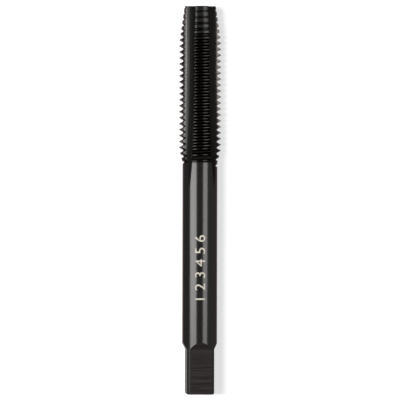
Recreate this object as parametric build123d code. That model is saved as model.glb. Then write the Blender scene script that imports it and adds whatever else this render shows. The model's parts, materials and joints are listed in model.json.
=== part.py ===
# A straight-flute hand tap, M7 x 1, right-hand, ground from one bar of tool steel.
# It lies on a bench along Y with its point towards +Y, and rests on two of its four lands.
# Lengths are in millimetres and angles in degrees.
from build123d import *
import math
import os

# ---- Lengths along the tap, each measured from the point
overall_length = 65.0
lead_length = 6.0
thread_end = 26.2
flute_straight = 9.0

# ---- Diameters
major_diameter = 7.0
point_diameter = 5.25
shank_diameter = 5.86

# ---- Thread form: flanks at 60 degrees, with a flat crest and a narrower flat root
pitch = 1.0
thread_angle = 60.0
crest_flat = 0.125
thread_depth = 0.615
first_crest = 0.28  # from the point to the first crest, on the +X side of the standing tap
back_chamfer_length = 2.15

# ---- Flutes, ground by a wheel whose rim has the flute's section
flute_count = 4
flute_edge_angle = 21.5  # from the flute's middle to the cutting edge
flute_heel_angle = 23.5  # from the flute's middle to the heel of the next land
flute_bottom_angle = 6.0  # from the flute's middle to its deepest line, on the heel's side
core_diameter = 3.1
flute_bottom_radius = 0.3
flute_floor_angle = 40.0  # from the flute's middle to the square of its floor
flute_heel_radius = 3.3
rake_angle = 8.0
wheel_radius = 168.0

# ---- Driving square, with one flat behind the middle of each land
square_across_flats = 4.6
square_length = 7.6
square_ramp_angle = 30.0
square_edge_break = 0.2

# ---- Centre holes in both ends, on which the tap is held while it is ground
centre_mouth_diameter = 1.9
centre_pilot_diameter = 0.8
centre_angle = 60.0
centre_pilot_depth = 0.9

# ---- How far a cutter reaches past what it cuts
clear = 1.0
groove_clear = 0.05

# ---- Worked out from the sizes above
major_radius = major_diameter / 2
shank_radius = shank_diameter / 2
core_radius = core_diameter / 2
flat_distance = square_across_flats / 2
flute_spacing = 360 / flute_count


def direction(angle):
    """The unit vector at an angle in the XY plane."""
    return Vector(math.cos(math.radians(angle)), math.sin(math.radians(angle)))


def make_blank():
    """The turned blank, standing: its square end at z = 0 and its point at z = overall_length."""
    section = Plane.XZ * make_face(Polyline(
        (0, 0),
        (shank_radius, 0),
        (shank_radius, overall_length - thread_end),
        (major_radius, overall_length - thread_end + back_chamfer_length),
        (major_radius, overall_length - lead_length),
        (point_diameter / 2, overall_length),
        (0, overall_length),
        close=True,
    ))
    return revolve(section, axis=Axis.Z)


def make_flute_section():
    """The wheel's rim: a hooked cutting face, a flat floor, a tight bottom and a hollow heel."""
    edge = direction(-flute_edge_angle) * major_radius
    heel = direction(flute_heel_angle) * major_radius
    # The bottom arc touches the core circle, and the floor touches the bottom arc.
    bottom = direction(flute_bottom_angle) * core_radius
    bottom_centre = direction(flute_bottom_angle) * (core_radius + flute_bottom_radius)
    floor_normal = direction(flute_floor_angle)
    floor_foot = bottom_centre - floor_normal * flute_bottom_radius
    # At the cutting edge the face leans back from the radius by the rake angle, and it curls into the floor.
    face_out = direction(rake_angle - flute_edge_angle)
    face_normal = direction(rake_angle - flute_edge_angle + 90)
    hook_radius = (edge - floor_foot).dot(floor_normal) / (1 - face_normal.dot(floor_normal))
    hook_centre = edge + face_normal * hook_radius
    hook_middle = hook_centre - (face_normal + floor_normal).normalized() * hook_radius
    hook_foot = hook_centre - floor_normal * hook_radius
    # The heel is an arc through the heel corner, hollow towards the flute, that touches the bottom arc.
    to_heel = heel - bottom_centre
    reach = flute_heel_radius - flute_bottom_radius
    along = (reach ** 2 - flute_heel_radius ** 2 + to_heel.length ** 2) / (2 * to_heel.length)
    across = math.sqrt(reach ** 2 - along ** 2)
    heel_line = to_heel.normalized()
    heel_centre = bottom_centre + heel_line * along + heel_line.rotate(Axis.Z, -90) * across
    heel_foot = bottom_centre + (bottom_centre - heel_centre).normalized() * flute_bottom_radius
    heel_middle = heel_centre + ((heel_foot + heel) / 2 - heel_centre).normalized() * flute_heel_radius
    heel_out = (heel - heel_centre).normalized().rotate(Axis.Z, -90)
    face_top = edge + face_out * clear
    heel_top = heel + heel_out * clear
    return make_face([
        Line(face_top, edge),
        ThreePointArc(edge, hook_middle, hook_foot),
        Line(hook_foot, floor_foot),
        ThreePointArc(floor_foot, bottom, heel_foot),
        ThreePointArc(heel_foot, heel_middle, heel),
        Line(heel, heel_top),
        Line(heel_top, face_top),
    ])


def make_flute_cutter():
    """The space that the wheel sweeps: straight from the point, then out along the wheel's own arc."""
    start = overall_length - flute_straight
    section = Pos(0, 0, start) * make_flute_section()
    straight = extrude(section, amount=flute_straight + clear, dir=(0, 0, 1))
    exit_rise = major_radius + clear - core_radius
    exit_angle = math.degrees(math.acos(1 - exit_rise / wheel_radius))
    wheel_axis = Axis((core_radius + wheel_radius, 0, start), (0, -1, 0))
    run_out = revolve(section, axis=wheel_axis, revolution_arc=exit_angle)
    return straight + run_out


def make_groove_turn():
    """One turn of the thread's groove, which starts and ends in the open space of a flute."""
    flank_slope = math.tan(math.radians(thread_angle / 2))
    root_radius = major_radius - thread_depth
    root_half = (pitch - crest_flat) / 2 - thread_depth * flank_slope
    mouth_radius = major_radius + groove_clear
    mouth_half = root_half + (mouth_radius - root_radius) * flank_slope
    section = Plane.XZ * make_face(Polyline(
        (root_radius, -root_half),
        (mouth_radius, -mouth_half),
        (mouth_radius, mouth_half),
        (root_radius, root_half),
        close=True,
    ))
    return sweep(section, path=Helix(pitch, pitch, root_radius), is_frenet=True)


def make_square_cutter():
    """What is ground away on one side of the square: down to the flat, and a ramp up to the shank."""
    outside = shank_radius + clear
    ramp = (outside - flat_distance) / math.tan(math.radians(square_ramp_angle))
    section = Plane.XZ * make_face(Polyline(
        (flat_distance, -clear),
        (outside, -clear),
        (outside, square_length + ramp),
        (flat_distance, square_length),
        close=True,
    ))
    return extrude(section, amount=outside, both=True)


def make_centre_hole():
    """A centre drill's cone and pilot, going down from z = 0."""
    mouth = centre_mouth_diameter / 2
    pilot = centre_pilot_diameter / 2
    cone_depth = (mouth - pilot) / math.tan(math.radians(centre_angle / 2))
    section = Plane.XZ * make_face(Polyline(
        (0, 0),
        (mouth, 0),
        (pilot, -cone_depth),
        (pilot, -cone_depth - centre_pilot_depth),
        (0, -cone_depth - centre_pilot_depth),
        close=True,
    ))
    return revolve(section, axis=Axis.Z)


def make_tap():
    """The whole tap, standing on its square end."""
    tap = make_blank()
    tap = tap.cut(*[Rot(0, 0, flute_spacing * n) * make_flute_cutter() for n in range(flute_count)])
    groove = make_groove_turn()
    first_groove = overall_length - first_crest + pitch / 2
    for turn in range(1, math.ceil(thread_end / pitch) + 1):
        tap = tap - Pos(0, 0, first_groove - turn * pitch) * groove
    for side in range(4):
        tap = tap - Rot(0, 0, flute_spacing / 2 + 90 * side) * make_square_cutter()
    tap = tap - Pos(0, 0, overall_length) * make_centre_hole()
    tap = tap - Rot(180, 0, 0) * make_centre_hole()
    end_face = tap.faces().sort_by(Axis.Z)[0]
    return chamfer(end_face.outer_wire().edges(), square_edge_break)


lying = Rot(-90, 0, 0) * make_tap()
axis_height = -lying.bounding_box().min.Z
tap = Pos(0, -overall_length / 2, axis_height) * lying
os.makedirs("parts", exist_ok=True)
export_step(tap, "parts/tap.step")
print("tap volume", tap.volume, "valid", tap.is_valid, "axis height", axis_height)
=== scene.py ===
# %% [markdown]
# # A hand tap
# A hand tap cuts a thread inside a drilled hole. It starts as one round bar of tool steel. A lathe
# turns it, a cutter grooves the thread, a wheel grinds four flutes and a driving square, and a hot
# bath turns the steel black. This lesson makes the tap in that order, in the frame of the finished
# CAD model.

# %% The frame
import bpy
import bmesh
import json
import math
from mathutils import Matrix, Vector


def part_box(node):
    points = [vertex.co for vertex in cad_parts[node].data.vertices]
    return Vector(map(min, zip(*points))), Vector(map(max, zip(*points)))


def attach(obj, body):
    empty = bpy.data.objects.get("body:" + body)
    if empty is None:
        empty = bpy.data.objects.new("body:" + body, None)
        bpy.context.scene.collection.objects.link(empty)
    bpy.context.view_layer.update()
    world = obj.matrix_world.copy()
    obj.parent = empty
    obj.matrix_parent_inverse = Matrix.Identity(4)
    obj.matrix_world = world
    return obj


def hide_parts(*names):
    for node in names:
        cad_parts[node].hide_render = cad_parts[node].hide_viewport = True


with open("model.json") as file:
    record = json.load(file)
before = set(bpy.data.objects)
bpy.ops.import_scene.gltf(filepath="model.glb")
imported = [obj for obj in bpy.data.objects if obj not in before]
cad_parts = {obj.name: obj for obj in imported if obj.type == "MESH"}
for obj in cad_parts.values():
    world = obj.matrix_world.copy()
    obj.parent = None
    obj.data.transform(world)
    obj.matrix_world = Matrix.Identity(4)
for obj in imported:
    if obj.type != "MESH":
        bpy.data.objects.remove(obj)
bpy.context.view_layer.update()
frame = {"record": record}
tap_low, tap_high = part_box("tap")
scene = bpy.context.scene

# %% [markdown]
# ## Sizes
# The lengths are in millimetres, as on a drawing, and a scale turns them into metres at the end. What
# the CAD model knows already comes from its frame: the box gives the overall length, and the mounts
# give the axis, the two radii and the lengths of the thread and the square.

# %% Sizes
MM = 0.001
overall_length = (tap_high[1] - tap_low[1]) / MM
mounts = {mount["name"]: mount for mount in frame["record"]["mounts"]}
axis_height = mounts["shank"]["pos_m"][2] / MM
shank_radius = mounts["shank"]["dims"]["r_mm"]
major_radius = mounts["thread"]["dims"]["r_mm"]
thread_length = mounts["thread"]["dims"]["length_mm"]
square_length = mounts["square_drive"]["dims"]["length_mm"]
print("axis height", axis_height, "length", round(overall_length, 3))

# %% [markdown]
# ## The turned blank
# A lathe gives the bar its outline: the shank, the chamfer behind the thread, the thread's own
# diameter, the tapered lead, and a centre hole in each end. One half outline is spun round the axis,
# so every stretch is round. The tap stands on its square end until the last step, so an outline point
# is a radius and a height above that end.

# %% The outline
lead_length = 6.0
point_radius = 2.625
back_chamfer = 2.15
end_break = 0.2
hole_mouth = 0.95
hole_pilot = 0.4
hole_slope = 30.0
pilot_length = 0.9
hole_cone = (hole_mouth - hole_pilot) / math.tan(math.radians(hole_slope))
hole_depth = hole_cone + pilot_length
thread_start = overall_length - thread_length
lead_start = overall_length - lead_length
outline = [
    (0, hole_depth), (hole_pilot, hole_depth), (hole_pilot, hole_cone), (hole_mouth, 0),
    (shank_radius - end_break, 0), (shank_radius, end_break),
    (shank_radius, thread_start), (major_radius, thread_start + back_chamfer),
    (major_radius, lead_start), (point_radius, overall_length),
    (hole_mouth, overall_length), (hole_pilot, overall_length - hole_cone),
    (hole_pilot, overall_length - hole_depth), (0, overall_length - hole_depth),
]
print("outline points:", len(outline))

# %% The turned blank
round_steps = 180
same_point = 1e-4


def new_object(name, data):
    """An object at the origin that shows a mesh, a text, a lamp or a camera."""
    made = bpy.data.objects.new(name, data)
    scene.collection.objects.link(made)
    return made


def finished(name, work):
    """A mesh with every face turned outwards, from a working mesh that isn't needed after it."""
    bmesh.ops.recalc_face_normals(work, faces=work.faces)
    mesh = bpy.data.meshes.new(name)
    work.to_mesh(mesh)
    work.free()
    return mesh


def spin_outline(name, points, steps):
    """Spins a half outline of (radius, height) round the Z axis."""
    work = bmesh.new()
    corners = [work.verts.new((radius, 0, height)) for radius, height in points]
    edges = [work.edges.new(pair) for pair in zip(corners, corners[1:])]
    bmesh.ops.spin(work, geom=corners + edges, cent=(0, 0, 0), axis=(0, 0, 1),
                   angle=2 * math.pi, steps=steps, use_merge=True)
    bmesh.ops.remove_doubles(work, verts=work.verts, dist=same_point)
    return finished(name, work)


body = new_object("tap_body", spin_outline("tap_body", outline, round_steps))
print("blank faces:", len(body.data.polygons))

# %% [markdown]
# ## The flute cutter
# A grinding wheel with a shaped rim ploughs each flute. Seen from the end, the rim has a hooked
# cutting face, a flat floor, a tight bottom and a hollow heel. The hook, the floor and the bottom run
# smoothly into each other, and so do the bottom and the heel, so a few angles and radii give the
# whole section.

# %% Directions and arcs
def direction(angle):
    """The unit vector at an angle in degrees, in the plane across the tap."""
    return Vector((math.cos(math.radians(angle)), math.sin(math.radians(angle))))


def arc(centre, radius, start, stop, count):
    """Points on an arc, between two points that already lie on it."""
    first = math.atan2(*(start - centre).yx)
    turn = (math.atan2(*(stop - centre).yx) - first + math.pi) % (2 * math.pi) - math.pi
    angles = [first + turn * i / count for i in range(count + 1)]
    return [centre + radius * Vector((math.cos(angle), math.sin(angle))) for angle in angles]


# %% The rim's section
edge_angle = 21.5
heel_angle = 23.5
bottom_angle = 6.0
floor_angle = 40.0
rake_angle = 8.0
core_radius = 1.55
bottom_radius = 0.12
heel_radius = 3.3
clear = 1.0
face_steps = 16
bottom_steps = 28


def flute_section():
    """The rim's section, with the flute's middle along +X."""
    edge = direction(-edge_angle) * major_radius
    heel = direction(heel_angle) * major_radius
    bottom_centre = direction(bottom_angle) * (core_radius + bottom_radius)

    # the hook leaves the cutting edge at the rake angle and runs into the floor
    floor_normal = direction(floor_angle)
    floor_foot = bottom_centre - floor_normal * bottom_radius
    face_normal = direction(rake_angle - edge_angle + 90)
    hook_radius = (edge - floor_foot).dot(floor_normal) / (1 - face_normal.dot(floor_normal))
    hook_centre = edge + face_normal * hook_radius
    hook_foot = hook_centre - floor_normal * hook_radius

    # the heel's arc runs out of the bottom's arc and ends at the edge of the next land
    to_heel = heel - bottom_centre
    reach = heel_radius - bottom_radius
    along = (reach ** 2 - heel_radius ** 2 + to_heel.length ** 2) / (2 * to_heel.length)
    across = math.sqrt(reach ** 2 - along ** 2)
    heel_line = to_heel.normalized()
    heel_side = Vector((heel_line.y, -heel_line.x))
    heel_centre = bottom_centre + heel_line * along + heel_side * across
    heel_foot = bottom_centre + (bottom_centre - heel_centre).normalized() * bottom_radius
    heel_out = Vector(((heel - heel_centre).y, -(heel - heel_centre).x)).normalized()

    points = [edge + direction(rake_angle - edge_angle) * clear]
    points += arc(hook_centre, hook_radius, edge, hook_foot, face_steps)
    points += arc(bottom_centre, bottom_radius, floor_foot, heel_foot, bottom_steps)
    points += arc(heel_centre, heel_radius, heel_foot, heel, face_steps)
    points.append(heel + heel_out * clear)
    return points


rim = flute_section()
print("points round the rim's section:", len(rim))

# %% [markdown]
# ### The wheel's sweep
# The wheel runs straight along the lead and the first threads, and then climbs out of the bar on its
# own large radius, which leaves the long fading end of a flute. The cutter is the space that the rim
# sweeps, so it is a loft of that one section, straight at first and then turned about the wheel's
# centre.

# %% The wheel's sweep
wheel_radius = 168.0
flute_straight = 9.0
climb_steps = 40


def loft(name, rings):
    """A closed mesh through a row of rings, with a cap on the first and on the last."""
    work = bmesh.new()
    loops = [[work.verts.new(point) for point in ring] for ring in rings]
    for upper, lower in zip(loops, loops[1:]):
        for i in range(len(upper)):
            j = (i + 1) % len(upper)
            work.faces.new((upper[i], upper[j], lower[j], lower[i]))
    work.faces.new(loops[0])
    work.faces.new(loops[-1])
    return finished(name, work)


def swept_rings(section):
    """The section straight down from the point, and then out along the wheel's radius."""
    wheel_centre = core_radius + wheel_radius
    start = overall_length - flute_straight
    climb = math.acos(1 - (major_radius + clear - core_radius) / wheel_radius)
    rings = [[(p.x, p.y, overall_length + clear) for p in section]]
    for i in range(climb_steps + 1):
        turn = climb * i / climb_steps
        rings.append([(wheel_centre - (wheel_centre - p.x) * math.cos(turn), p.y,
                       start - (wheel_centre - p.x) * math.sin(turn)) for p in section])
    return rings


flute = new_object("flute_cutter", loft("flute_cutter", swept_rings(rim)))
print("flute cutter faces:", len(flute.data.polygons))

# %% [markdown]
# ## The square's cutter
# One side of the driving square is a flat that ends in a short ramp where the grinding wheel's edge
# left the bar. The cutter is a prism of that outline, with its side along +X. It breaks the sharp
# edge at the end of the bar too.

# %% The square's cutter
flat_distance = 2.3
ramp_angle = 30.0
outside = shank_radius + clear
ramp_length = (outside - flat_distance) / math.tan(math.radians(ramp_angle))
flat_outline = [
    (flat_distance - end_break, -clear), (outside, -clear), (outside, square_length + ramp_length),
    (flat_distance, square_length), (flat_distance, end_break), (flat_distance - end_break, 0),
]
flat_rings = [[(x, y, z) for x, z in flat_outline] for y in (-outside, outside)]
square = new_object("square_cutter", loft("square_cutter", flat_rings))
print("square cutter faces:", len(square.data.polygons))

# %% [markdown]
# ## Thread, flutes and square, in Geometry Nodes
# All three follow a rule, so a node tree makes them. The groove is one trapezoid swept along a
# spiral, one turn for each millimetre. The flutes and the flats are one cutter each, turned round the
# axis. Then one boolean takes them all from the blank, as the machines do. The sizes are inputs of
# the tree, so the same tree makes a coarser thread or a tap with three flutes.


# %% Helpers for node trees
def add_node(tree, kind, settings=None, **inputs):
    """Adds a node and sets its options. Its inputs go by name, with _ for a space, or by number."""
    node = tree.nodes.new(kind)
    for name, value in (settings or {}).items():
        setattr(node, name, value)
    for name, value in inputs.items():
        by_number = name[1:].isdigit()
        socket = node.inputs[int(name[1:]) if by_number else name.replace("_", " ")]
        if isinstance(value, bpy.types.NodeSocket):
            tree.links.new(value, socket)
        else:
            socket.default_value = value
    return node


def number(tree, operation, first, second=0.0):
    """The result of one Math node."""
    node = add_node(tree, "ShaderNodeMath", {"operation": operation}, _0=first, _1=second)
    return node.outputs[0]


def excess(tree, value, limit):
    """How far a value lies past a limit, and 0 before it."""
    return number(tree, "MAXIMUM", number(tree, "SUBTRACT", value, limit), 0.0)


# %% The tree's sizes
pitch = 1.0
thread_angle = 60.0
thread_depth = 0.615
crest_flat = 0.125
first_crest = 0.28
groove_clear = 0.05
lead_sink = 0.32
lead_sink_length = 4.0
back_sink = 0.15
flank_slope = math.tan(math.radians(thread_angle / 2))
root_width = pitch - crest_flat - 2 * thread_depth * flank_slope
groove_height = thread_depth + groove_clear
groove_past_crest = 1.5 * pitch
tree_sizes = {
    "Pitch": pitch,
    "Turns": float(math.ceil(thread_length / pitch) + 1),
    "Top Groove": overall_length - first_crest + groove_past_crest,
    "Root Radius": major_radius - thread_depth,
    "Root Width": root_width,
    "Mouth Width": root_width + 2 * groove_height * flank_slope,
    "Groove Height": groove_height,
    "Lead Sink Start": overall_length - lead_sink_length,
    "Lead Sink Slope": lead_sink / lead_sink_length,
    "Back Sink Start": thread_start + back_chamfer,
    "Back Sink Slope": back_sink / back_chamfer,
}
print("tree sizes:", {name: round(value, 3) for name, value in tree_sizes.items()})

# %% The tree and its inputs
tree = bpy.data.node_groups.new("cut_tap", "GeometryNodeTree")
input_kinds = {"Blank": "Geometry", "Flute Cutter": "Object", "Square Cutter": "Object",
               "Flutes": "Int", "Steel": "Material"}
input_kinds.update({name: "Float" for name in tree_sizes})
for name, kind in input_kinds.items():
    tree.interface.new_socket(name, in_out="INPUT", socket_type="NodeSocket" + kind)
tree.interface.new_socket("Tap", in_out="OUTPUT", socket_type="NodeSocketGeometry")
given = tree.nodes.new("NodeGroupInput").outputs
print("inputs of the tree:", len(input_kinds))

# %% [markdown]
# ### The groove's path
# The groove's bottom follows a right-hand spiral with a step for every face of the blank, so the two
# fit together. It starts past the point and ends behind the thread. Near the point and along the back
# chamfer the bar gets thinner, and the spiral sinks towards the axis there, so that those crests are
# cut as well.

# %% The groove's path
height = number(tree, "MULTIPLY", given["Turns"], given["Pitch"])
spiral = add_node(tree, "GeometryNodeCurveSpiral", Resolution=round_steps, Rotations=given["Turns"],
                  Start_Radius=given["Root Radius"], End_Radius=given["Root Radius"],
                  Height=height, Reverse=True)
low_end = number(tree, "SUBTRACT", given["Top Groove"], height)
raised = add_node(tree, "ShaderNodeCombineXYZ", Z=low_end)
path = add_node(tree, "GeometryNodeTransform", Geometry=spiral.outputs[0],
                Translation=raised.outputs[0])
position = tree.nodes.new("GeometryNodeInputPosition").outputs[0]
spot = add_node(tree, "ShaderNodeSeparateXYZ", _0=position).outputs
lead_part = number(tree, "MULTIPLY", excess(tree, spot["Z"], given["Lead Sink Start"]),
                   given["Lead Sink Slope"])
back_part = number(tree, "MULTIPLY", excess(tree, given["Back Sink Start"], spot["Z"]),
                   given["Back Sink Slope"])
sink = number(tree, "DIVIDE", number(tree, "ADD", lead_part, back_part), given["Root Radius"])
keep = number(tree, "SUBTRACT", 1.0, sink)
sunk = add_node(tree, "ShaderNodeCombineXYZ", X=number(tree, "MULTIPLY", spot["X"], keep),
                Y=number(tree, "MULTIPLY", spot["Y"], keep), Z=spot["Z"])
path = add_node(tree, "GeometryNodeSetPosition", Geometry=path.outputs[0], Position=sunk.outputs[0])
path = add_node(tree, "GeometryNodeSetCurveNormal", {"mode": "Z_UP"}, Curve=path.outputs[0])
print("groove turns:", tree_sizes["Turns"])

# %% [markdown]
# ### The groove's section
# A thread's groove is a trapezoid with a flank on each side and a narrow flat at the root. The
# section is turned so that this narrow side lies on the spiral and the wide mouth points outwards. It
# reaches a little past the thread's diameter, so that the groove's mouth never lies in the same
# surface as the blank.

# %% The groove's section
section = add_node(tree, "GeometryNodeCurvePrimitiveQuadrilateral", {"mode": "TRAPEZOID"},
                   Bottom_Width=given["Root Width"], Top_Width=given["Mouth Width"],
                   Height=given["Groove Height"], Offset=0.0)
half_height = number(tree, "MULTIPLY", given["Groove Height"], 0.5)
outward = add_node(tree, "ShaderNodeCombineXYZ", X=half_height)
section = add_node(tree, "GeometryNodeTransform", Geometry=section.outputs[0],
                   Translation=outward.outputs[0], Rotation=(0, 0, math.radians(-90)))
groove = add_node(tree, "GeometryNodeCurveToMesh", Curve=path.outputs[0],
                  Profile_Curve=section.outputs[0], Fill_Caps=True)
print("groove mouth in mm:", round(tree_sizes["Mouth Width"], 3))

# %% [markdown]
# ### Marks and rings of cutters
# The faces that a boolean cuts keep what was written on the cutter. So each shape carries the number
# of its tool, and the material can tell a ground face from a turned one later. The flutes and the
# flats are each one cutter, instanced round the axis.

# %% Marks and rings of cutters
turned = 0.0
threaded = 1.0
fluted = 2.0
flatted = 3.0
flute_count = 4
flat_count = 4
flat_turn = 45.0


def marked(shape, tool):
    """Writes the number of the tool that a shape stands for on its faces."""
    kind = {"data_type": "FLOAT", "domain": "FACE"}
    node = add_node(tree, "GeometryNodeStoreNamedAttribute", kind, Geometry=shape, Name="tool",
                    Value=tool)
    return node.outputs[0]


def ring_of(cutter, count, first_turn, tool):
    """A cutter, instanced so many times round the axis."""
    points = add_node(tree, "GeometryNodeMeshLine", Count=count, Offset=(0, 0, 0))
    index = tree.nodes.new("GeometryNodeInputIndex").outputs[0]
    step = number(tree, "DIVIDE", 2 * math.pi, count)
    turn = number(tree, "ADD", number(tree, "MULTIPLY", index, step), first_turn)
    euler = add_node(tree, "ShaderNodeCombineXYZ", Z=turn)
    shape = add_node(tree, "GeometryNodeObjectInfo", Object=cutter).outputs["Geometry"]
    ring = add_node(tree, "GeometryNodeInstanceOnPoints", Points=points.outputs[0],
                    Instance=marked(shape, tool), Rotation=euler.outputs[0])
    return ring.outputs[0]


flutes = ring_of(given["Flute Cutter"], given["Flutes"], 0.0, fluted)
flats = ring_of(given["Square Cutter"], flat_count, math.radians(flat_turn), flatted)
print("cutters round the axis:", flute_count, "for flutes and", flat_count, "for flats")

# %% [markdown]
# ### The cut
# One boolean takes the groove, the flutes and the flats away together. Its manifold solver is quick
# and clean on closed shapes like these. The many narrow faces of the blank are then shaded smooth,
# and only edges that bend by more than a few degrees stay crisp. At the end the tap is laid down
# along Y, in metres, on its place in the frame.

# %% The cut
sharp_angle = 7.0
merge_distance = 1e-5
cut = add_node(tree, "GeometryNodeMeshBoolean", {"operation": "DIFFERENCE", "solver": "MANIFOLD"})
tree.links.new(marked(given["Blank"], turned), cut.inputs["Mesh 1"])
for cutters in (marked(groove.outputs[0], threaded), flutes, flats):
    tree.links.new(cutters, cut.inputs["Mesh 2"])
clean = add_node(tree, "GeometryNodeMergeByDistance", Geometry=cut.outputs[0],
                 Distance=merge_distance)
bend = tree.nodes.new("GeometryNodeInputMeshEdgeAngle").outputs[0]
gentle = add_node(tree, "FunctionNodeCompare", {"operation": "LESS_THAN"},
                  A=bend, B=math.radians(sharp_angle))
smooth = add_node(tree, "GeometryNodeSetShadeSmooth", {"domain": "FACE"}, _0=clean.outputs[0])
smooth = add_node(tree, "GeometryNodeSetShadeSmooth", {"domain": "EDGE"}, _0=smooth.outputs[0],
                  Shade_Smooth=gentle.outputs[0])
laid = add_node(tree, "GeometryNodeTransform", Geometry=smooth.outputs[0],
                Translation=(0, -overall_length / 2 * MM, axis_height * MM),
                Rotation=(math.radians(-90), 0, 0), Scale=(MM, MM, MM))
real = add_node(tree, "GeometryNodeRealizeInstances", Geometry=laid.outputs[0])
coated = add_node(tree, "GeometryNodeSetMaterial", Geometry=real.outputs[0],
                  Material=given["Steel"])
tree.links.new(coated.outputs[0], tree.nodes.new("NodeGroupOutput").inputs[0])
print("nodes in the tree:", len(tree.nodes))

# %% [markdown]
# ### From nodes to a mesh
# The tree runs as a modifier on the blank. Its inputs are set by their identifiers before the first
# evaluation. The result becomes a plain mesh, and the modifier and the cutters go.

# %% From nodes to a mesh
steel = bpy.data.materials.new("black_oxide_steel")
values = dict(tree_sizes, Flutes=flute_count, Steel=steel)
values["Flute Cutter"] = flute
values["Square Cutter"] = square
modifier = body.modifiers.new("cut_tap", "NODES")
modifier.node_group = tree
items = [item for item in tree.interface.items_tree if item.in_out == "INPUT"]
identifiers = {item.name: item.identifier for item in items}
for name, value in values.items():
    modifier[identifiers[name]] = value
evaluated = body.evaluated_get(bpy.context.evaluated_depsgraph_get())
mesh = bpy.data.meshes.new_from_object(evaluated)
body.modifiers.remove(modifier)
body.data = mesh
for cutter in (flute, square):
    bpy.data.objects.remove(cutter)
print("tap faces:", len(mesh.polygons))

# %% [markdown]
# ## The finish
# Black oxide is a thin layer that a hot salt bath grows on bright steel, so the tap stays metallic
# and only darkens. Every tool leaves its own fine marks under it: rings on what the lathe and the
# thread wheel cut, lines along the flutes, and lines across the flats. All of these are one noise,
# stretched in different directions, so one node group draws them. The printed ink uses it too, for
# its wear.

# %% The marks as a node group
marks = bpy.data.node_groups.new("tool_marks", "ShaderNodeTree")
marks.interface.new_socket("Scale", in_out="INPUT", socket_type="NodeSocketVector")
marks.interface.new_socket("Detail", in_out="INPUT", socket_type="NodeSocketFloat")
marks.interface.new_socket("Value", in_out="OUTPUT", socket_type="NodeSocketFloat")
entry = marks.nodes.new("NodeGroupInput").outputs
object_place = marks.nodes.new("ShaderNodeTexCoord").outputs["Object"]
stretched = add_node(marks, "ShaderNodeVectorMath", {"operation": "MULTIPLY"},
                     _0=object_place, _1=entry["Scale"])
noise = add_node(marks, "ShaderNodeTexNoise", Vector=stretched.outputs[0], Scale=1.0,
                 Detail=entry["Detail"])
marks.links.new(noise.outputs[0], marks.nodes.new("NodeGroupOutput").inputs[0])
print("nodes in the group:", len(marks.nodes))


# %% Helpers for masks and mixes
def mark_value(tree, scale, detail):
    """A value from 0 to 1 that draws fine marks, stretched by one scale for each axis."""
    node = tree.nodes.new("ShaderNodeGroup")
    node.node_tree = marks
    node.inputs["Scale"].default_value = scale
    node.inputs["Detail"].default_value = detail
    return node.outputs["Value"]


def ramp(tree, value, low, high, to_low=0.0, to_high=1.0):
    """Maps a value from one range to another, and clamps it there."""
    return add_node(tree, "ShaderNodeMapRange", Value=value, From_Min=low, From_Max=high,
                    To_Min=to_low, To_Max=to_high).outputs[0]


def blend(tree, kind, factor, first, second):
    """Mixes two values or two colours."""
    index = {"FLOAT": (2, 3, 0), "RGBA": (6, 7, 2)}[kind]
    node = add_node(tree, "ShaderNodeMix", {"data_type": kind}, _0=factor,
                    **{f"_{index[0]}": first, f"_{index[1]}": second})
    return node.outputs[index[2]]


# %% [markdown]
# ### Which tool cut a face, and its marks
# The tool's number that the cutters left on the faces becomes three masks. The scale of the marks is
# large across them, where they are fine, and small along them, where they are long.

# %% Which tool cut a face, and its marks
fine_scale = 9000
long_scale = 300
flat_fine_scale = 3400
flat_long_scale = 150
mark_detail = 3.0
flat_detail = 2.0
steel.use_nodes = True
shader = steel.node_tree
surface = shader.nodes["Principled BSDF"]
tool = add_node(shader, "ShaderNodeAttribute", {"attribute_name": "tool"}).outputs["Fac"]
is_thread = number(shader, "COMPARE", tool, threaded)
is_flute = number(shader, "COMPARE", tool, fluted)
is_flat = number(shader, "COMPARE", tool, flatted)
rings = mark_value(shader, (long_scale, fine_scale, long_scale), mark_detail)
lengthwise = mark_value(shader, (fine_scale, long_scale, fine_scale), mark_detail)
flat_scale = (flat_long_scale, flat_fine_scale, flat_long_scale)
crosswise = mark_value(shader, flat_scale, flat_detail)
fine = blend(shader, "FLOAT", is_flute, rings, lengthwise)
fine = blend(shader, "FLOAT", is_flat, fine, crosswise)
print("marks to a millimetre:", fine_scale * MM, "and on the flats", flat_fine_scale * MM)

# %% [markdown]
# ### Where a point lies on the tap
# The colour isn't equally dark everywhere: painted shade makes it darkest deep in the flutes and in
# the thread, and painted highlights lighten parts of the flutes. So the material works out, in
# millimetres, how far a point is from the axis, how far it is along a flute's run-out, and how high
# it is above the flute's deepest line. The cutting face is the side of a flute before its middle, and
# the heel is the side after it.

# %% Where a point lies on the tap
side_from = 0.02
side_to = 0.12


def lying(height):
    """Where a height on the standing tap lies along Y, in millimetres."""
    return height - overall_length / 2


in_metres = shader.nodes.new("ShaderNodeTexCoord").outputs["Object"]
in_mm = add_node(shader, "ShaderNodeVectorMath", {"operation": "SCALE"}, _0=in_metres,
                 Scale=1 / MM)
place = add_node(shader, "ShaderNodeSeparateXYZ", _0=in_mm.outputs[0]).outputs
rise = number(shader, "SUBTRACT", place["Z"], axis_height)
rise_square = number(shader, "MULTIPLY", rise, rise)
side_square = number(shader, "MULTIPLY", place["X"], place["X"])
radius = number(shader, "SQRT", number(shader, "ADD", rise_square, side_square))
run_out = excess(shader, lying(overall_length - flute_straight), place["Y"])
climb = number(shader, "DIVIDE", number(shader, "MULTIPLY", run_out, run_out), 2 * wheel_radius)
depth = number(shader, "SUBTRACT", number(shader, "SUBTRACT", radius, climb), core_radius)
around = number(shader, "ARCTAN2", number(shader, "MULTIPLY", rise, -1.0), place["X"])
from_middle = add_node(shader, "ShaderNodeMath", {"operation": "WRAP"}, _0=around,
                       _1=math.pi / flute_count, _2=-math.pi / flute_count).outputs[0]
cutting_side = ramp(shader, from_middle, side_from, side_to, 1.0, 0.0)
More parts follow.
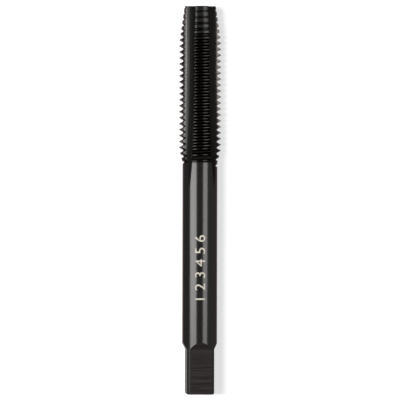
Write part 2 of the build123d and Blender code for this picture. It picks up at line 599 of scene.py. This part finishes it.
print("the run-out starts at Y in mm:", round(lying(overall_length - flute_straight), 2))

# %% [markdown]
# ### The oxide and painted light in the flutes
# Painted shade makes a flute nearly black along its bottom. A painted highlight, a bright strip, lies
# halfway up the cutting face, where the hollow gathers light, and it gets brighter along the run-out.
# The heel has painted shade low down and a painted highlight towards its edge. Each height below is
# in millimetres above the flute's deepest line.

# %% The oxide and painted light in the flutes
# The heel's two colours are painted shade low down and a painted highlight towards its edge.
heel_painted_shade_colour = (0.078, 0.070, 0.067, 1)
heel_painted_highlight_colour = (0.170, 0.145, 0.140, 1)
face_colour = (0.130, 0.127, 0.125, 1)
# The strip's two colours are a painted highlight, a lamp's reflection on the cutting face.
strip_painted_highlight_colour = (0.52, 0.51, 0.50, 1)
strip_end_painted_highlight_colour = (0.95, 0.93, 0.92, 1)
# Painted shade along the flute's bottom, darkest on the heel side.
heel_bottom_painted_shade_colour = (0.018, 0.015, 0.014, 1)
face_bottom_painted_shade_colour = (0.060, 0.057, 0.056, 1)
bottom_full = 0.15
bottom_gone = 0.6
strip_low = 0.55
strip_middle = 0.80
strip_high = 1.30
heel_low = 0.9
heel_high = 1.5
strip_change = 6
strip_changed = 15

# Where the painted shade along the flute's bottom falls; the bottom is rougher there too.
near_bottom = number(shader, "MULTIPLY", is_flute,
                     ramp(shader, depth, bottom_full, bottom_gone, 1.0, 0.0))
# The painted highlight lies in a band of heights on the cutting face.
painted_highlight_strip = number(shader, "MULTIPLY", ramp(shader, depth, strip_low, strip_middle),
               ramp(shader, depth, strip_middle, strip_high, 1.0, 0.0))
painted_highlight_strip = number(shader, "MULTIPLY", painted_highlight_strip, cutting_side)
# Painted shade low on the heel, turning into a painted highlight towards its edge.
heel_painted_light = blend(shader, "RGBA", ramp(shader, depth, heel_low, heel_high),
                   heel_painted_shade_colour, heel_painted_highlight_colour)
# The flute's oxide colour, with its painted shade and painted highlights mixed in.
flute_oxide_and_painted_light = blend(shader, "RGBA", cutting_side, heel_painted_light, face_colour)
# The painted highlight gets brighter along the run-out.
strip_painted_highlight = blend(shader, "RGBA", ramp(shader, run_out, strip_change, strip_changed),
                    strip_painted_highlight_colour, strip_end_painted_highlight_colour)
flute_oxide_and_painted_light = blend(shader, "RGBA", painted_highlight_strip, flute_oxide_and_painted_light, strip_painted_highlight)
# The painted shade along the bottom, darker on the heel side than on the cutting side.
bottom_painted_shade = blend(shader, "RGBA", cutting_side, heel_bottom_painted_shade_colour, face_bottom_painted_shade_colour)
flute_oxide_and_painted_light = blend(shader, "RGBA", near_bottom, flute_oxide_and_painted_light, bottom_painted_shade)
print("the strip's heights in mm:", strip_low, "to", strip_high)

# %% [markdown]
# ### The oxide and painted shade outside the flutes
# The shank is the plain colour of the finish. Painted shade makes the crests of the thread darker up
# to the lead and the flanks darker towards the root, and the flats and the corners between them are a
# little paler.

# %% The oxide and painted shade outside the flutes
shank_colour = (0.120, 0.117, 0.115, 1)
corner_colour = (0.135, 0.130, 0.127, 1)
flat_colour = (0.135, 0.117, 0.115, 1)
# The crest, flank and root colours are painted shade in the thread.
crest_painted_shade_colour = (0.065, 0.060, 0.056, 1)
flank_low_painted_shade_colour = (0.032, 0.027, 0.025, 1)
flank_high_painted_shade_colour = (0.070, 0.065, 0.061, 1)
root_painted_shade_colour = (0.042, 0.038, 0.035, 1)
root_full = 2.90
root_gone = 2.94
flank_low = 2.95
flank_high = 3.4
crest_fade = 1.5

corner = number(shader, "LESS_THAN", place["Y"], lying(square_length))
oxide_and_painted_light = blend(shader, "RGBA", corner, shank_colour, corner_colour)
past_shank = number(shader, "GREATER_THAN", place["Y"], lying(thread_start))
before_lead = ramp(shader, place["Y"], lying(lead_start), lying(lead_start) + crest_fade, 1.0, 0.0)
# Painted shade darkens the crests up to the lead.
crest = number(shader, "MULTIPLY", past_shank, before_lead)
oxide_and_painted_light = blend(shader, "RGBA", crest, oxide_and_painted_light, crest_painted_shade_colour)
# Painted shade darkens the flanks towards the root, and the root most of all.
thread_painted_shade = blend(shader, "RGBA", ramp(shader, radius, flank_low, flank_high),
                     flank_low_painted_shade_colour, flank_high_painted_shade_colour)
thread_painted_shade = blend(shader, "RGBA", ramp(shader, radius, root_full, root_gone, 1.0, 0.0),
                     thread_painted_shade, root_painted_shade_colour)
oxide_and_painted_light = blend(shader, "RGBA", is_thread, oxide_and_painted_light, thread_painted_shade)
# The flutes bring their painted shade and painted highlights into the colour here.
oxide_and_painted_light = blend(shader, "RGBA", is_flute, oxide_and_painted_light, flute_oxide_and_painted_light)
oxide_and_painted_light = blend(shader, "RGBA", is_flat, oxide_and_painted_light, flat_colour)
print("the lead starts at Y in mm:", round(lying(lead_start), 2))

# %% [markdown]
# ### The black steel
# The marks make the oxide a little lighter and darker, most of all on the ground flats, and they lift
# the surface by a few thousandths of a millimetre. One share then darkens all the colours together. A
# dark tint on the edge reflection keeps the steel from turning pale where it slopes away.

# %% The black steel
oxide_share = 0.14
noise_low = 0.3
noise_high = 0.7
mark_contrast = 0.12
flat_contrast = 0.40
plain_roughness = 0.20
bottom_roughness = 0.35
square_roughness = 0.34
roughness_swing = 0.03
edge_tint = (0.60, 0.55, 0.54, 1)
mark_depth = 4e-6
mark_strength = 0.25

contrast = blend(shader, "FLOAT", is_flat, mark_contrast, flat_contrast)
swing = number(shader, "MULTIPLY", ramp(shader, fine, noise_low, noise_high, -1.0, 1.0), contrast)
share = number(shader, "MULTIPLY", number(shader, "ADD", swing, 1.0), oxide_share)
darkened = add_node(shader, "ShaderNodeHueSaturation", Color=oxide_and_painted_light, Value=share)
shader.links.new(darkened.outputs[0], surface.inputs["Base Color"])
on_square = number(shader, "MAXIMUM", corner, is_flat)
rough = blend(shader, "FLOAT", near_bottom, plain_roughness, bottom_roughness)
rough = blend(shader, "FLOAT", on_square, rough, square_roughness)
rough = number(shader, "ADD", rough,
               ramp(shader, fine, noise_low, noise_high, -roughness_swing, roughness_swing))
shader.links.new(rough, surface.inputs["Roughness"])
surface.inputs["Metallic"].default_value = 1
surface.inputs["Specular Tint"].default_value = edge_tint
bump = add_node(shader, "ShaderNodeBump", Strength=mark_strength, Distance=mark_depth, Height=fine)
shader.links.new(bump.outputs[0], surface.inputs["Normal"])
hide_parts("tap")
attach(body, "root")
print("finish nodes:", len(shader.nodes))

# %% [markdown]
# ## Where the camera looks from
# The tap lies on the table and the camera looks down on it from the side, so that one land faces the
# lens. Three directions describe the view: to the camera, right in the image and up in the image. The
# lens is long, so both ends show at one size.

# %% The view
view_tilt = math.radians(39.6)
view_roll = math.radians(0.115)
lens = 400
sensor = 36
frame_width = 0.06705
image_size = 400
nudge_right = 0.16
nudge_up = 0.3
nearest = 0.005
pixel = frame_width / image_size
camera_distance = lens / sensor * frame_width
axis_point = Vector((0, 0, axis_height * MM))
to_camera = Vector((math.sin(view_tilt), 0, math.cos(view_tilt)))
image_right = Vector((math.cos(view_tilt), 0, -math.sin(view_tilt)))
image_up = Vector((0, 1, 0))
camera = new_object("camera", bpy.data.cameras.new("camera"))
camera.data.lens = lens
camera.data.sensor_width = sensor
camera.data.clip_start = nearest
look = axis_point + image_right * (nudge_right * pixel) + image_up * (nudge_up * pixel)
turn = Matrix((image_right, image_up, to_camera)).transposed() @ Matrix.Rotation(view_roll, 3, "Z")
camera.matrix_world = Matrix.Translation(look + to_camera * camera_distance) @ turn.to_4x4()
scene.camera = camera
print("camera distance in m:", round(camera_distance, 3))

# %% [markdown]
# ## The printed size
# A tap carries its size on the shank, in pale ink. Here plain digits stand in that place. The text is
# flat at first. It's sliced into narrow strips and bent round the shank, so that it follows the steel
# with a thickness of its own.

# %% The flat text
digits = "1 2 3 4 5 6"
text_thickness = 0.5
text_strips = 10
on_plane = 1e-6


def flat_text():
    """A working mesh of the text, sliced into strips across its height."""
    text = bpy.data.curves.new("digits", "FONT")
    text.body = digits
    text.align_y = "BOTTOM_BASELINE"
    text.extrude = text_thickness
    flat = new_object("digits", text)
    evaluated = flat.evaluated_get(bpy.context.evaluated_depsgraph_get())
    made = bpy.data.meshes.new_from_object(evaluated)
    bpy.data.objects.remove(flat)
    work = bmesh.new()
    work.from_mesh(made)
    bpy.data.meshes.remove(made)
    bmesh.ops.remove_doubles(work, verts=work.verts, dist=same_point)
    low = min(vertex.co.y for vertex in work.verts)
    high = max(vertex.co.y for vertex in work.verts)
    for i in range(1, text_strips):
        everything = work.verts[:] + work.edges[:] + work.faces[:]
        level = low + (high - low) * i / text_strips
        bmesh.ops.bisect_plane(work, geom=everything, dist=on_plane,
                               plane_co=(0, level, 0), plane_no=(0, 1, 0))
    bmesh.ops.triangulate(work, faces=work.faces)
    return work


sliced = flat_text()
print("vertices in the sliced text:", len(sliced.verts))

# %% [markdown]
# ### Bending it round the shank
# The text's length becomes a place along the tap, and its height an angle round the axis. The front
# stands a hundredth of a millimetre off the steel, as ink does, and the back sinks into it, so that
# no gap shows.

# %% The bent text
digit_height = 1.72
print_start = -16.63
print_end = -5.82
print_angle = 1.4
print_lift = 0.012
print_sink = 0.02


def bend_round_shank(work):
    """Moves flat text onto the shank, where it reads along the tap."""
    low = Vector([min(vertex.co[i] for vertex in work.verts) for i in range(3)])
    high = Vector([max(vertex.co[i] for vertex in work.verts) for i in range(3)])
    for vertex in work.verts:
        along = (vertex.co.x - low.x) / (high.x - low.x)
        across = ((vertex.co.y - low.y) / (high.y - low.y) - 0.5) * digit_height
        angle = math.radians(print_angle) - across / shank_radius
        radius = shank_radius + (print_lift if vertex.co.z > 0 else -print_sink)
        out = to_camera * math.cos(angle) + image_right * math.sin(angle)
        reading = print_start + (print_end - print_start) * along
        vertex.co = axis_point + out * radius * MM + image_up * reading * MM


bend_round_shank(sliced)
printed = new_object("printed_size", finished("printed_size", sliced))
print("printed faces:", len(printed.data.polygons))

# %% [markdown]
# ### The ink
# The ink is matt and a little worn. The marks' node group draws the wear too, with one scale for all
# three axes, so that it shows as spots and not as lines.

# %% The pale ink
ink_thin = (0.38, 0.35, 0.29, 1)
ink_full = (0.56, 0.52, 0.45, 1)
ink_grain = 2500
wear_low = 0.35
wear_high = 0.65
ink_roughness = 0.7
ink = bpy.data.materials.new("pale_ink")
ink.use_nodes = True
ink_shader = ink.node_tree
ink_surface = ink_shader.nodes["Principled BSDF"]
wear = mark_value(ink_shader, (ink_grain, ink_grain, ink_grain), mark_detail)
ink_colour = blend(ink_shader, "RGBA", ramp(ink_shader, wear, wear_low, wear_high),
                   ink_thin, ink_full)
ink_shader.links.new(ink_colour, ink_surface.inputs["Base Color"])
ink_surface.inputs["Roughness"].default_value = ink_roughness
printed.data.materials.append(ink)
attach(printed, "root")
print("ink nodes:", len(ink_shader.nodes))

# %% [markdown]
# ## The studio
# Round black steel shows its lamps as bands along it. So two soft boxes stand beside the camera, one
# on each side, and the gap between them gives the dark middle. The lead slopes away, so it shows a
# second, smaller pair that stands further out past the point. All of them are short along the tap:
# the steel still shows them bright, while matt things get a plain amount of light.

# %% The soft boxes
box_distance = 0.8
shank_boxes = {"length": 0.125, "along": 0.0}
lead_boxes = {"length": 0.08, "along": 0.285}
left_side = {"angle": -43.7, "span": 43}
right_side = {"angle": 36.5, "span": 29}


def softbox(name, radiance, angle, span, length, along):
    """A lamp, turned round the tap's axis from the camera's side and set along that axis."""
    lamp = bpy.data.lights.new(name, "AREA")
    lamp.shape = "RECTANGLE"
    lamp.size = length
    lamp.size_y = 2 * box_distance * math.tan(math.radians(span) / 2)
    lamp.energy = radiance * math.pi * lamp.size * lamp.size_y
    made = new_object(name, lamp)
    around = view_tilt + math.radians(angle)
    out = Vector((math.sin(around), 0, math.cos(around)))
    side = Vector((math.cos(around), 0, -math.sin(around)))
    turn = Matrix((image_up, -side, out)).transposed()
    spot = axis_point + out * box_distance + image_up * along
    made.matrix_world = Matrix.Translation(spot) @ turn.to_4x4()
    print(name, "power in W:", round(lamp.energy, 3))


softbox("softbox_left", radiance=23.5, **left_side, **shank_boxes)
softbox("softbox_right", radiance=15.5, **right_side, **shank_boxes)
softbox("lead_softbox_left", radiance=14.0, **left_side, **lead_boxes)
softbox("lead_softbox_right", radiance=9.0, **right_side, **lead_boxes)

# %% [markdown]
# ### The room
# The room is white where the camera sees it, and where the metal mirrors it, but it gives matt things
# only a little light. So the background is white without washing out the colours.

# %% The room
room_light = (0.15, 0.15, 0.15, 1)
white = (1, 1, 1, 1)


def background_rays(tree):
    """1 for the rays that show the background: the camera's, and what metal and glass send on."""
    ray = tree.nodes.new("ShaderNodeLightPath").outputs
    sent_on = number(tree, "MAXIMUM", ray["Is Glossy Ray"], ray["Is Transmission Ray"])
    return number(tree, "MAXIMUM", ray["Is Camera Ray"], sent_on)


world = bpy.data.worlds.new("studio")
scene.world = world
world.use_nodes = True
sky = world.node_tree
sky_colour = blend(sky, "RGBA", background_rays(sky), room_light, white)
sky.links.new(sky_colour, sky.nodes["Background"].inputs["Color"])
print("world nodes:", len(sky.nodes))

# %% [markdown]
# ## The table
# The table is matt and pale. A glow that only those same rays see takes it to pure white, with the
# tap's shadow still on it, so the metal mirrors the same white table that the camera sees.

# %% The table
table_half = 1
table_colour = (0.45, 0.45, 0.45, 1)
table_glow = 0.65
table_corners = [(-table_half, -table_half, 0), (table_half, -table_half, 0),
                 (table_half, table_half, 0), (-table_half, table_half, 0)]
floor_mesh = bpy.data.meshes.new("floor")
floor_mesh.from_pydata(table_corners, [], [(0, 1, 2, 3)])
floor = new_object("floor", floor_mesh)
paper = bpy.data.materials.new("floor")
paper.use_nodes = True
paper_tree = paper.node_tree
paper_surface = paper_tree.nodes["Principled BSDF"]
paper_surface.inputs["Base Color"].default_value = table_colour
paper_surface.inputs["Roughness"].default_value = 1
paper_surface.inputs["Specular IOR Level"].default_value = 0
paper_surface.inputs["Emission Color"].default_value = white
glow = number(paper_tree, "MULTIPLY", background_rays(paper_tree), table_glow)
paper_tree.links.new(glow, paper_surface.inputs["Emission Strength"])
floor_mesh.materials.append(paper)
print("table side in m:", 2 * table_half)

# %% [markdown]
# ## Finish
# It sets the plain Standard view transform.

# %% Finish
scene.view_settings.view_transform = "Standard"
